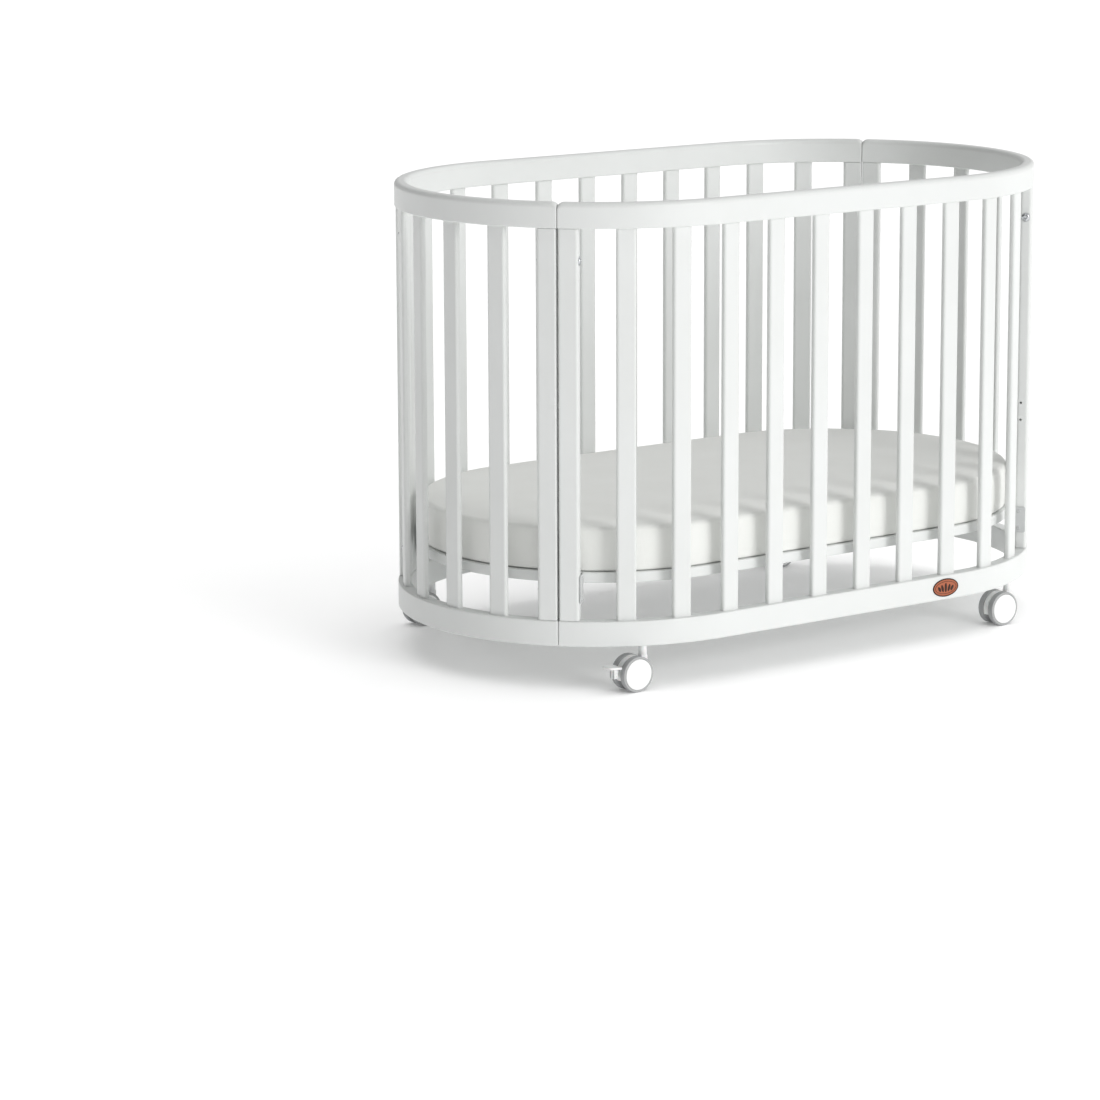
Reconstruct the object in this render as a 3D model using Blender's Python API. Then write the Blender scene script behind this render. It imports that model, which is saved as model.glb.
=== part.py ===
"""Oval baby crib on castors, with its mattress. Metres, +Z up, origin on the floor under the middle.

The crib's outline is a stadium: two straight sides joined by two half circles. It is cut into four
panels, two long sides and two ends, that are bolted together post to post at four seams. A point on
the outline is given by how far it lies along the middle of the rails, and by how far in or out.
"""

import math

import bmesh
import bpy
from mathutils import Matrix, Vector

# Outline and rails
OUTER_RADIUS = 0.360
HALF_STRAIGHT = 0.270
RAIL_THICKNESS = 0.024
RAIL_HEIGHT = 0.044
BOTTOM_RAIL_Z = 0.077
CRIB_HEIGHT = 0.837
RAIL_ROUND = 0.0075
RAIL_EASE = 0.002
SEAM_ANGLE = math.radians(47)
SEAM_GAP = 0.0008
STEP_ANGLE = math.radians(7.9)

# Posts and slats
POST_WIDTH = 0.0345
POST_THICKNESS = 0.022
POST_GAP = 0.0028
POST_EASE = 0.004
SLAT_WIDTH = 0.034
SLAT_THICKNESS = 0.011
SLAT_ROUND = 0.0042
SLAT_TENON = 0.010
SIDE_SLATS = 10
SIDE_PITCH = 0.098
END_SLATS = 4
END_PITCH = 0.100

# Bolts and bracket screws, as holes in the posts
BOLT_HOLE_RADIUS = 0.0033
BOLT_HEIGHTS = (0.173, 0.738)
SCREW_HOLE_RADIUS = 0.0021
SCREW_HOLE_DEPTH = 0.012
SCREW_SPACING = 0.032
SCREW_OFFSET = 0.003
LOW_BASE_Z = 0.190
BASE_LIFT = 0.203
BRACKET_Z = 0.1755

# Mattress base, its brackets and the mattress
MATTRESS_RADIUS = 0.325
MATTRESS_THICKNESS = 0.080
MATTRESS_ROUND = 0.014
BASE_THICKNESS = 0.018
BASE_EASE = 0.0015
BRACKET_HEIGHT = 0.048
BRACKET_SHEET = 0.0025
BRACKET_REACH = 0.0315
BRACKET_FLANGE = 0.028
BRACKET_CORNER = 0.003

# Castors
CASTOR_TRAIL = 0.022
WHEEL_RADIUS = 0.031
WHEEL_WIDTH = 0.0135
WHEELS_OVERALL = 0.040
WHEEL_ROUND = 0.003
CAP_RADIUS = 0.0262
CAP_RIM = 0.0018
CAP_PROUD = 0.0008
AXLE_RADIUS = 0.004
WHEEL_STEPS = 22
HOOD_RADIUS = 0.0305
HOOD_FLOOR = -0.010
HOOD_STEPS = 16
NECK_TOP_Z = 0.061
COLLAR_RADIUS = 0.007
COLLAR_Z = 0.059
STEM_RADIUS = 0.005
STEM_DEPTH = 0.026

# Brake pedals, measured from their pin, which is out and up from the wheels' axle
PIN_OUT = 0.0355
PIN_UP = 0.003
PIN_RADIUS = 0.002
TONGUE_HALF = 0.0024
TONGUE_EYE = 0.0045
CHEEK_INNER = 0.003
CHEEK_OUTER = 0.0059
CHEEK_BACK = 0.002
BLOCK_REACH = 0.0072
BLOCK_WALL = 0.002
BLOCK_LOW = -0.008
BLOCK_HIGH = 0.0095
PLATE_THICKNESS = 0.0025
PLATE_HALF = 0.013
PLATE_BACK = 0.0045
PLATE_LENGTH = 0.0235
PLATE_RISE = math.radians(11)
PLATE_CORNER = 0.007

GAP = 0.0003
RUNNING_GAP = 0.0006
TOP_RAIL_Z = CRIB_HEIGHT - RAIL_HEIGHT
MID_RADIUS = OUTER_RADIUS - RAIL_THICKNESS / 2
POST_BOTTOM = BOTTOM_RAIL_Z + RAIL_HEIGHT + GAP
POST_TOP = TOP_RAIL_Z - GAP

# Each panel's middle along the outline, its half length, and its slats' number and pitch
SIDE_PANELS = ("front", "back")
SIDE_HALF = HALF_STRAIGHT + MID_RADIUS * SEAM_ANGLE
END_HALF = MID_RADIUS * (math.pi / 2 - SEAM_ANGLE)
END_MIDDLE = HALF_STRAIGHT + MID_RADIUS * math.pi / 2
PANELS = {
    "front": (0.0, SIDE_HALF, SIDE_SLATS, SIDE_PITCH),
    "right": (END_MIDDLE, END_HALF, END_SLATS, END_PITCH),
    "back": (2 * END_MIDDLE, SIDE_HALF, SIDE_SLATS, SIDE_PITCH),
    "left": (-END_MIDDLE, END_HALF, END_SLATS, END_PITCH),
}
# The two sides are one panel turned half round, so each castor is level with the one across from it
CASTOR_NEAR = HALF_STRAIGHT + MID_RADIUS * SEAM_ANGLE / 2
CASTOR_FAR = CASTOR_NEAR + 0.020
CASTORS = {
    "front_left": -CASTOR_NEAR,
    "front_right": CASTOR_FAR,
    "back_right": 2 * END_MIDDLE - CASTOR_NEAR,
    "back_left": 2 * END_MIDDLE + CASTOR_FAR,
}
BRAKED = ("front_left", "back_right")

WHITE_PAINT = ("white_painted_beech", (0.84, 0.85, 0.85), 0.45, 0.0)
BASE_PAINT = ("white_painted_board", (0.74, 0.75, 0.75), 0.5, 0.0)
FABRIC = ("white_cotton_cover", (0.80, 0.80, 0.78), 0.9, 0.0)
STEEL = ("grey_painted_steel", (0.50, 0.51, 0.51), 0.4, 0.7)
NYLON = ("white_moulded_nylon", (0.82, 0.82, 0.82), 0.35, 0.0)
TYRE = ("grey_soft_tyre_white_cap", (0.45, 0.46, 0.46), 0.6, 0.0)


def clear_scene():
    for obj in list(bpy.data.objects):
        bpy.data.objects.remove(obj, do_unlink=True)


def material(look):
    """One shared Principled material for each finish."""
    name, colour, roughness, metallic = look
    made = bpy.data.materials.get(name)
    if made is None:
        made = bpy.data.materials.new(name)
        made.use_nodes = True
        shader = made.node_tree.nodes["Principled BSDF"]
        shader.inputs["Base Color"].default_value = (*colour, 1)
        shader.inputs["Roughness"].default_value = roughness
        shader.inputs["Metallic"].default_value = metallic
    return made


def finish(bm, name, look, at=(0, 0, 0), turn=0.0):
    """Makes the bmesh an object of that name, turned about Z and moved to its place."""
    bmesh.ops.recalc_face_normals(bm, faces=bm.faces)
    mesh = bpy.data.meshes.new(name)
    bm.to_mesh(mesh)
    bm.free()
    mesh.shade_smooth()
    mesh.set_sharp_from_angle(angle=math.radians(35))
    obj = bpy.data.objects.new(name, mesh)
    obj.data.materials.append(material(look))
    obj.location = at
    obj.rotation_euler.z = turn
    bpy.context.scene.collection.objects.link(obj)
    return obj


def box(bm, low, high):
    """Adds a box between two corners and returns its vertices."""
    low, high = Vector(low), Vector(high)
    place = Matrix.Translation((low + high) / 2) @ Matrix.Diagonal((*(high - low), 1))
    return bmesh.ops.create_cube(bm, size=1, matrix=place)["verts"]


def cylinder(bm, radius, start, end, sides):
    """Adds a closed cylinder from one point to another."""
    start, end = Vector(start), Vector(end)
    turn = (end - start).to_track_quat("Z", "Y").to_matrix().to_4x4()
    place = Matrix.Translation((start + end) / 2) @ turn
    bmesh.ops.create_cone(
        bm,
        cap_ends=True,
        segments=sides,
        radius1=radius,
        radius2=radius,
        depth=(end - start).length,
        matrix=place,
    )


def lift(bm, face, move):
    """Makes one face a closed solid by extruding it along a vector."""
    made = bmesh.ops.extrude_face_region(bm, geom=[face])["geom"]
    bmesh.ops.translate(bm, verts=[v for v in made if isinstance(v, bmesh.types.BMVert)], vec=move)


def boolean(obj, bm, operation):
    """Joins or cuts the object with the shape in bm, and applies the result."""
    bmesh.ops.recalc_face_normals(bm, faces=bm.faces)
    mesh = bpy.data.meshes.new("cutter")
    bm.to_mesh(mesh)
    bm.free()
    cutter = bpy.data.objects.new("cutter", mesh)
    cutter.matrix_world = obj.matrix_basis
    bpy.context.scene.collection.objects.link(cutter)
    modifier = obj.modifiers.new("boolean", "BOOLEAN")
    modifier.operation = operation
    modifier.solver = "EXACT"
    modifier.object = cutter
    bpy.context.view_layer.update()
    graph = bpy.context.evaluated_depsgraph_get()
    result = bpy.data.meshes.new_from_object(obj.evaluated_get(graph))
    obj.modifiers.clear()
    obj.data = result
    bpy.data.objects.remove(cutter)
    result.shade_smooth()
    result.set_sharp_from_angle(angle=math.radians(35))


def on_outline(along):
    """The point at that distance along the middle of the rails from the front's middle, and its turn.

    The distance grows towards +X and may go on round the ends. The turn is 0 on the front, where the
    outward direction is -Y, and it grows anticlockwise as seen from above.
    """
    whole = 4 * HALF_STRAIGHT + 2 * math.pi * MID_RADIUS
    along = (along + whole / 2) % whole - whole / 2
    side = math.copysign(1, along)
    past = abs(along) - HALF_STRAIGHT
    if past <= 0:
        return Vector((along, -MID_RADIUS, 0)), 0.0
    angle = past / MID_RADIUS
    if angle <= math.pi:
        x = side * (HALF_STRAIGHT + MID_RADIUS * math.sin(angle))
        return Vector((x, -MID_RADIUS * math.cos(angle), 0)), side * angle
    return Vector((side * (HALF_STRAIGHT - (angle - math.pi) * MID_RADIUS), MID_RADIUS, 0)), math.pi


def slat_places(panel):
    middle, _, count, pitch = PANELS[panel]
    return [middle + (i - (count - 1) / 2) * pitch for i in range(count)]


def post_places(panel):
    """Each post's place, and the side of it that its panel's slats are on, 1 or -1 along the outline."""
    middle, half, _, _ = PANELS[panel]
    offset = half - POST_GAP / 2 - POST_WIDTH / 2
    return [(middle - offset, 1), (middle + offset, -1)]


def stations(panel):
    """The places where a rail's section is set: both ends, both ends of a straight, and steps between."""
    middle, half, _, _ = PANELS[panel]
    half -= SEAM_GAP / 2
    if panel in SIDE_PANELS:
        steps = round(SEAM_ANGLE / STEP_ANGLE)
        bend = [HALF_STRAIGHT + (half - HALF_STRAIGHT) * i / steps for i in range(steps + 1)]
        offsets = [-place for place in reversed(bend)] + bend
    else:
        steps = 2 * round(half / MID_RADIUS / STEP_ANGLE)
        offsets = [half * (2 * i / steps - 1) for i in range(steps + 1)]
    return [middle + offset for offset in offsets]


def carried(bm, section, places):
    """A closed bar: a section of (outward, height) points set at each place along the outline."""
    rings = []
    for place in places:
        point, turn = on_outline(place)
        outward = Matrix.Rotation(turn, 3, "Z") @ Vector((0, -1, 0))
        rings.append([bm.verts.new(point + out * outward + Vector((0, 0, z))) for out, z in section])
    for ring, following in zip(rings, rings[1:]):
        for i in range(len(section)):
            j = (i + 1) % len(section)
            bm.faces.new((ring[i], ring[j], following[j], following[i]))
    bm.faces.new(rings[0])
    bm.faces.new(rings[-1])
    return rings


def make_rail(panel, level, z):
    """A rail with mortises for its slats. A top rail's upper edges and upper end corners are rounded.

    A bottom rail has small eases only, and a side's has sockets below for its castors' stems.
    """
    half = RAIL_THICKNESS / 2
    section = [(half, z), (-half, z), (-half, z + RAIL_HEIGHT), (half, z + RAIL_HEIGHT)]
    bm = bmesh.new()
    rings = carried(bm, section, stations(panel))

    def run(corner):
        return [bm.edges.get((a[corner], b[corner])) for a, b in zip(rings, rings[1:])]

    lower, upper = run(0) + run(1), run(2) + run(3)
    eased = lower if level == "top" else lower + upper
    bmesh.ops.bevel(bm, geom=eased, offset=RAIL_EASE, segments=1, affect="EDGES")
    if level == "top":
        upper += [bm.edges.get((ring[2], ring[3])) for ring in (rings[0], rings[-1])]
        bmesh.ops.bevel(bm, geom=upper, offset=RAIL_ROUND, segments=2, profile=0.5, affect="EDGES")
    rail = finish(bm, f"{level}_rail_{panel}", WHITE_PAINT)
    mouth = z if level == "top" else z + RAIL_HEIGHT
    inside = 1 if level == "top" else -1
    cutter = bmesh.new()
    wide = SLAT_WIDTH / 2 + GAP
    thick = SLAT_THICKNESS / 2 + GAP
    reach = sorted((mouth - inside * RAIL_EASE, mouth + inside * (SLAT_TENON + GAP)))
    for place in slat_places(panel):
        point, turn = on_outline(place)
        verts = box(cutter, (-wide, -thick, reach[0]), (wide, thick, reach[1]))
        seat = Matrix.Translation(point) @ Matrix.Rotation(turn, 4, "Z")
        bmesh.ops.transform(cutter, verts=verts, matrix=seat)
    boolean(rail, cutter, "DIFFERENCE")
    if level == "bottom" and panel in SIDE_PANELS:
        cutter = bmesh.new()
        for name, place in CASTORS.items():
            if name.startswith(panel):
                point, _ = on_outline(place)
                low = point + Vector((0, 0, z - RAIL_EASE))
                high = point + Vector((0, 0, z + STEM_DEPTH + RUNNING_GAP))
                cylinder(cutter, STEM_RADIUS + RUNNING_GAP, low, high, 16)
        boolean(rail, cutter, "DIFFERENCE")


def upright(name, width, thickness, low, high, ease, segments, place):
    """A post or slat: a bar with eased long edges, its flat faces square to the outline."""
    bm = bmesh.new()
    box(bm, (-width / 2, -thickness / 2, low), (width / 2, thickness / 2, high))
    long_edges = [edge for edge in bm.edges if abs(edge.verts[0].co.z - edge.verts[1].co.z) > ease]
    bmesh.ops.bevel(bm, geom=long_edges, offset=ease, segments=segments, profile=0.5, affect="EDGES")
    point, turn = on_outline(place)
    return finish(bm, name, WHITE_PAINT, point, turn)


def make_post(panel, number, place, slat_side):
    """A post with through holes for the seam bolts and, on a side panel, threaded holes for a bracket."""
    post = upright(
        f"post_{panel}_{number}", POST_WIDTH, POST_THICKNESS, POST_BOTTOM, POST_TOP, POST_EASE, 2, place
    )
    cutter = bmesh.new()
    for z in BOLT_HEIGHTS:
        cylinder(cutter, BOLT_HOLE_RADIUS, (-POST_WIDTH, 0, z), (POST_WIDTH, 0, z), 8)
    if panel in SIDE_PANELS:
        face = slat_side * POST_WIDTH / 2
        for level in (BRACKET_Z, BRACKET_Z + BASE_LIFT):
            for z in (level - SCREW_SPACING / 2, level + SCREW_SPACING / 2):
                if all(abs(z - bolt) > 2 * BOLT_HOLE_RADIUS for bolt in BOLT_HEIGHTS):
                    inside = (face - slat_side * SCREW_HOLE_DEPTH, SCREW_OFFSET, z)
                    outside = (face + slat_side * POST_EASE, SCREW_OFFSET, z)
                    cylinder(cutter, SCREW_HOLE_RADIUS, inside, outside, 8)
    boolean(post, cutter, "DIFFERENCE")


def make_frame():
    for panel in PANELS:
        make_rail(panel, "bottom", BOTTOM_RAIL_Z)
        make_rail(panel, "top", TOP_RAIL_Z)
        for number, (place, slat_side) in enumerate(post_places(panel), 1):
            make_post(panel, number, place, slat_side)
        low, high = POST_BOTTOM - GAP - SLAT_TENON, POST_TOP + GAP + SLAT_TENON
        for number, place in enumerate(slat_places(panel), 1):
            name = f"slat_{panel}_{number:02d}"
            upright(name, SLAT_WIDTH, SLAT_THICKNESS, low, high, SLAT_ROUND, 2, place)


def stadium(bm, radius, low, high):
    """A flat-topped stadium of that end radius, and its vertical edges' rings of vertices."""
    steps = round(math.pi / STEP_ANGLE)
    ring = []
    for side in (1, -1):
        for i in range(steps + 1):
            angle = math.pi * (i / steps - 0.5)
            ring.append((side * (HALF_STRAIGHT + radius * math.cos(angle)), side * radius * math.sin(angle)))
    lift(bm, bm.faces.new([bm.verts.new((x, y, low)) for x, y in ring]), Vector((0, 0, high - low)))
    return [edge for edge in bm.edges if abs(edge.verts[0].co.z - edge.verts[1].co.z) < GAP]


def make_base_and_mattress():
    base_top = LOW_BASE_Z + BASE_THICKNESS / 2
    bm = bmesh.new()
    rims = stadium(bm, MATTRESS_RADIUS, base_top - BASE_THICKNESS, base_top)
    bmesh.ops.bevel(bm, geom=rims, offset=BASE_EASE, segments=1, affect="EDGES")
    finish(bm, "mattress_base", BASE_PAINT)
    bm = bmesh.new()
    low = base_top + RUNNING_GAP
    rims = stadium(bm, MATTRESS_RADIUS, low, low + MATTRESS_THICKNESS)
    bmesh.ops.bevel(bm, geom=rims, offset=MATTRESS_ROUND, segments=2, profile=0.5, affect="EDGES")
    finish(bm, "mattress", FABRIC)


def make_bracket(name, place, slat_side):
    """An angle of steel sheet: one leg flat on the post's side, one behind the post on the base's edge."""
    outer = POST_WIDTH / 2 + GAP
    back = MID_RADIUS - MATTRESS_RADIUS - RUNNING_GAP
    front = back - BRACKET_REACH
    flange = outer + BRACKET_SHEET - BRACKET_FLANGE
    bm = bmesh.new()
    angle = [
        (outer, front),
        (outer + BRACKET_SHEET, front),
        (outer + BRACKET_SHEET, back),
        (flange, back),
        (flange, back - BRACKET_SHEET),
        (outer, back - BRACKET_SHEET),
    ]
    low = BRACKET_Z - BRACKET_HEIGHT / 2
    outline = bm.faces.new([bm.verts.new((slat_side * x, y, low)) for x, y in angle])
    lift(bm, outline, Vector((0, 0, BRACKET_HEIGHT)))
    corners = []
    for edge in bm.edges:
        ends = [vert.co for vert in edge.verts]
        flat = abs(ends[0].z - ends[1].z) < GAP
        outer_side = all(min(abs(end.y - front), abs(slat_side * end.x - flange)) < GAP for end in ends)
        if flat and outer_side:
            corners.append(edge)
    bmesh.ops.bevel(bm, geom=corners, offset=BRACKET_CORNER, segments=2, profile=0.5, affect="EDGES")
    point, turn = on_outline(place)
    finish(bm, name, STEEL, point, turn)


def make_brackets():
    for panel in SIDE_PANELS:
        for place, slat_side in post_places(panel):
            x = on_outline(place)[0].x
            make_bracket(f"bracket_{panel}_{'left' if x < 0 else 'right'}", place, slat_side)


def turned(bm, profile, centre, steps):
    """A solid turned about a line along Y through the centre, from a profile of (y, radius) points."""
    verts = [bm.verts.new(centre + Vector((0, y, radius))) for y, radius in profile]
    edges = [bm.edges.new(pair) for pair in zip(verts, verts[1:])]
    bmesh.ops.spin(
        bm, geom=verts + edges, cent=centre, axis=(0, 1, 0), angle=2 * math.pi, steps=steps, use_merge=True
    )
    bmesh.ops.remove_doubles(bm, verts=bm.verts, dist=1e-6)


def make_wheels(name, at):
    """Two wheels on one axle: each a tyre with rounded shoulders round a flat white cap."""
    outer = WHEELS_OVERALL / 2
    rim = outer - CAP_PROUD
    inner = outer - WHEEL_WIDTH
    half = [
        (outer, 0),
        (outer, CAP_RADIUS),
        (rim, CAP_RADIUS),
        (rim, CAP_RADIUS + CAP_RIM),
        (rim - WHEEL_ROUND, WHEEL_RADIUS),
        (inner, WHEEL_RADIUS),
        (inner, AXLE_RADIUS),
    ]
    profile = half + [(-y, radius) for y, radius in reversed(half)]
    bm = bmesh.new()
    turned(bm, profile, Vector((0, 0, 0)), WHEEL_STEPS)
    finish(bm, name, TYRE, Vector(at) + Vector((-CASTOR_TRAIL, 0, WHEEL_RADIUS)))


def make_housing(name, at, braked):
    """A castor's hood between its wheels, with the neck, collar and stem that it swivels on."""
    half = WHEELS_OVERALL / 2 - WHEEL_WIDTH - RUNNING_GAP
    across = Vector((0, 2 * half, 0))
    wheel = Vector((-CASTOR_TRAIL, 0, WHEEL_RADIUS))
    pin = wheel + Vector((-PIN_OUT, 0, PIN_UP))
    start = math.asin(HOOD_FLOOR / HOOD_RADIUS)
    sweep = [start + (math.pi - 2 * start) * i / HOOD_STEPS for i in range(HOOD_STEPS + 1)]
    bm = bmesh.new()
    rim = [wheel - across / 2 + HOOD_RADIUS * Vector((math.cos(a), 0, math.sin(a))) for a in sweep]
    lift(bm, bm.faces.new([bm.verts.new(point) for point in rim]), across)
    hood = finish(bm, name, NYLON, at)
    neck = bmesh.new()
    box(neck, (-COLLAR_RADIUS, -half, WHEEL_RADIUS), (COLLAR_RADIUS, half, NECK_TOP_Z))
    boolean(hood, neck, "UNION")
    collar = bmesh.new()
    cylinder(collar, COLLAR_RADIUS + GAP, (0, 0, COLLAR_Z), (0, 0, BOTTOM_RAIL_Z - RUNNING_GAP), 16)
    boolean(hood, collar, "UNION")
    stem = bmesh.new()
    cylinder(stem, STEM_RADIUS, (0, 0, NECK_TOP_Z), (0, 0, BOTTOM_RAIL_Z + STEM_DEPTH), 16)
    boolean(hood, stem, "UNION")
    bore = bmesh.new()
    cylinder(bore, AXLE_RADIUS + RUNNING_GAP, wheel - across, wheel + across, 20)
    if braked:
        tongue = bmesh.new()
        reach = (pin.x, -TONGUE_HALF, pin.z - TONGUE_EYE)
        box(tongue, reach, (wheel.x - HOOD_RADIUS / 2, TONGUE_HALF, pin.z + TONGUE_EYE))
        boolean(hood, tongue, "UNION")
        eye = bmesh.new()
        aside = Vector((0, TONGUE_HALF, 0))
        cylinder(eye, TONGUE_EYE, pin - aside, pin + aside, 16)
        boolean(hood, eye, "UNION")
        cylinder(bore, PIN_RADIUS + RUNNING_GAP, pin - across, pin + across, 12)
    boolean(hood, bore, "DIFFERENCE")


def make_pedal(name, at):
    """The brake pedal: a sloping foot plate on a hollow block, with the pin that turns in the tongue's eye."""
    bm = bmesh.new()
    box(bm, (-BLOCK_REACH, -CHEEK_OUTER, BLOCK_LOW), (CHEEK_BACK, CHEEK_OUTER, BLOCK_HIGH))
    place = Vector(at) + Vector((-CASTOR_TRAIL - PIN_OUT, 0, WHEEL_RADIUS + PIN_UP))
    pedal = finish(bm, name, NYLON, place)
    hollow = bmesh.new()
    low = (BLOCK_WALL - BLOCK_REACH, -CHEEK_INNER, 2 * BLOCK_LOW)
    box(hollow, low, (2 * CHEEK_BACK, CHEEK_INNER, BLOCK_HIGH - BLOCK_WALL))
    boolean(pedal, hollow, "DIFFERENCE")
    plate = bmesh.new()
    low = (-PLATE_LENGTH, -PLATE_HALF, 0)
    box(plate, low, (PLATE_BACK, PLATE_HALF, PLATE_THICKNESS))
    tip = [e for e in plate.edges if all(v.co.x < 0 for v in e.verts) and e.verts[0].co.y == e.verts[1].co.y]
    corners = [e for e in tip if abs(e.verts[0].co.z - e.verts[1].co.z) > GAP]
    bmesh.ops.bevel(plate, geom=corners, offset=PLATE_CORNER, segments=4, profile=0.5, affect="EDGES")
    slope = Matrix.Translation((0, 0, BLOCK_HIGH - GAP)) @ Matrix.Rotation(PLATE_RISE, 4, "Y")
    bmesh.ops.transform(plate, verts=plate.verts, matrix=slope)
    boolean(pedal, plate, "UNION")
    pin = bmesh.new()
    reach = (CHEEK_INNER + CHEEK_OUTER) / 2
    cylinder(pin, PIN_RADIUS, (0, -reach, 0), (0, reach, 0), 12)
    boolean(pedal, pin, "UNION")


def make_castors():
    for name, place in CASTORS.items():
        at, _ = on_outline(place)
        braked = name in BRAKED
        make_housing(f"castor_housing_{name}", at, braked)
        make_wheels(f"castor_wheels_{name}", at)
        if braked:
            make_pedal(f"brake_pedal_{name}", at)


def main():
    clear_scene()
    make_frame()
    make_base_and_mattress()
    make_brackets()
    make_castors()


main()
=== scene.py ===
"""Oval baby crib: the finished surfaces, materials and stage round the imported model.

Laid out as a Blender add-on and run as a script. Sizes are in metres, +Z is up, the floor is at 0.
Every surface is a grid of points: rows run along a piece and columns run round it.
"""

import math

import bmesh
import bpy
import numpy as np
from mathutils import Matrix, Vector


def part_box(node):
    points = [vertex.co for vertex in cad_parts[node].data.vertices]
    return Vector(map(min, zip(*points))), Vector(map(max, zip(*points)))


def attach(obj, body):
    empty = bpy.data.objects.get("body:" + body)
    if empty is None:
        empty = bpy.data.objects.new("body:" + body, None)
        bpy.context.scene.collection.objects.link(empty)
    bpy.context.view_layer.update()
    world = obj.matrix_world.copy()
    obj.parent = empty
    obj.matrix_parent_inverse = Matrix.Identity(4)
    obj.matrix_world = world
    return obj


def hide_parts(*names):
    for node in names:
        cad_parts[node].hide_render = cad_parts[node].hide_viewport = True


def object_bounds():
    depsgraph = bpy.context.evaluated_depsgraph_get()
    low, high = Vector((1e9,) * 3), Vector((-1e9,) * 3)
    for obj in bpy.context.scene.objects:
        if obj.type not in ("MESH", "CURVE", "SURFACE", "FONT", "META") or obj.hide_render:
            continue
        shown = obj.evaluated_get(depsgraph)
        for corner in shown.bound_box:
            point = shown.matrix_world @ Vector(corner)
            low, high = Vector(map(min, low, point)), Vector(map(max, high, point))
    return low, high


bl_info = {
    "name": "Oval Baby Crib",
    "version": (1, 0, 0),
    "blender": (4, 5, 0),
    "location": "3D View > Sidebar > Crib",
    "description": "Makes an oval baby crib with its mattress and castors, and its stage",
    "category": "Add Mesh",
}

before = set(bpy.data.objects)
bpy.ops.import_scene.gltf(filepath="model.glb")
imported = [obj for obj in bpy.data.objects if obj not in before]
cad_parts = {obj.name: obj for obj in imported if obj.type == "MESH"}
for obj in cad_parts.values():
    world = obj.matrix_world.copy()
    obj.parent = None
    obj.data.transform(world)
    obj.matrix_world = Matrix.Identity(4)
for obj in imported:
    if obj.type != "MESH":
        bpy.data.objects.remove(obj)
CAD_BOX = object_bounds()
TOP_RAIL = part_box("top_rail_front")
BOTTOM_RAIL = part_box("bottom_rail_front")
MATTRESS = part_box("mattress")
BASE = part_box("mattress_base")

# The crib's plan: two straight sides joined by half circles, cut into four panels at four seams
OUTER_RADIUS = CAD_BOX[1].y
HALF_STRAIGHT = CAD_BOX[1].x - OUTER_RADIUS
SEAM_ANGLE = math.radians(47)
SEAM_GAP = 0.0008
RAIL_THICKNESS = 0.024
MID_RADIUS = OUTER_RADIUS - RAIL_THICKNESS / 2
SIDE_HALF = HALF_STRAIGHT + MID_RADIUS * SEAM_ANGLE
END_HALF = MID_RADIUS * (math.pi / 2 - SEAM_ANGLE)
END_MIDDLE = HALF_STRAIGHT + MID_RADIUS * math.pi / 2
WHOLE_OUTLINE = 4 * END_MIDDLE
PANELS = {
    "front": (0.0, SIDE_HALF, 10, 0.098),
    "right": (END_MIDDLE, END_HALF, 4, 0.100),
    "back": (2 * END_MIDDLE, SIDE_HALF, 10, 0.098),
    "left": (-END_MIDDLE, END_HALF, 4, 0.100),
}
CASTOR_NEAR = HALF_STRAIGHT + MID_RADIUS * SEAM_ANGLE / 2
CASTOR_FAR = CASTOR_NEAR + 0.020
CASTORS = {
    "front_left": -CASTOR_NEAR,
    "front_right": CASTOR_FAR,
    "back_right": 2 * END_MIDDLE - CASTOR_NEAR,
    "back_left": 2 * END_MIDDLE + CASTOR_FAR,
}
POST_WIDTH = 0.0345
POST_THICKNESS = 0.022
POST_GAP = 0.0028
BOLT_LOW = 0.173
BOLT_HIGH = 0.738
UPPER_SCREWS = (0.3625, 0.3945)
SHARP_ANGLE = math.radians(40)
WELD = 2e-6
EDGE_BEND = 0.004


def linear(colour):
    """A colour from its sRGB hex value, as linear red, green, blue and alpha."""
    value = np.array([int(colour[i : i + 2], 16) for i in (1, 3, 5)]) / 255
    line = np.where(value <= 0.04045, value / 12.92, ((value + 0.055) / 1.055) ** 2.4)
    return (*line.tolist(), 1.0)


# Surfaces


def outline(along):
    """Points on the rails' middle line, with the directions along it and outwards.

    Distance grows from the front's middle towards +X. Past the straight it turns on a circle of
    MID_RADIUS, so the point is the circle's centre plus the radius times (sin angle, -cos angle).
    """
    along = np.atleast_1d(np.asarray(along, float))
    along = (along + WHOLE_OUTLINE / 2) % WHOLE_OUTLINE - WHOLE_OUTLINE / 2
    side = np.where(along < 0, -1.0, 1.0)
    past = np.abs(along) - HALF_STRAIGHT
    angle = np.clip(past / MID_RADIUS, 0, math.pi)
    beyond = np.maximum(past - math.pi * MID_RADIUS, 0)
    flat = np.zeros_like(along)
    straight = np.minimum(np.abs(along), HALF_STRAIGHT) - beyond
    point = np.stack(
        [side * (straight + MID_RADIUS * np.sin(angle)), -MID_RADIUS * np.cos(angle), flat], -1
    )
    tangent = np.stack([np.cos(angle), side * np.sin(angle), flat], -1)
    outward = np.stack([side * np.sin(angle), -np.cos(angle), flat], -1)
    return point, tangent, outward


def stadium(steps):
    """Points on the plan's middle segment and outward directions, for rings of any radius."""
    arc = np.linspace(-math.pi / 2, math.pi / 2, steps)
    run = np.linspace(-HALF_STRAIGHT, HALF_STRAIGHT, steps)[1:-1]
    flat = np.zeros_like(run)
    x = np.concatenate([np.full(steps, HALF_STRAIGHT), -run, np.full(steps, -HALF_STRAIGHT), run])
    across = np.concatenate([np.cos(arc), flat, -np.cos(arc), flat])
    up = np.concatenate([np.sin(arc), flat + 1, -np.sin(arc), flat - 1])
    none = np.zeros_like(x)
    return np.stack([x, none, none], -1), np.stack([across, up, none], -1)


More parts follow.
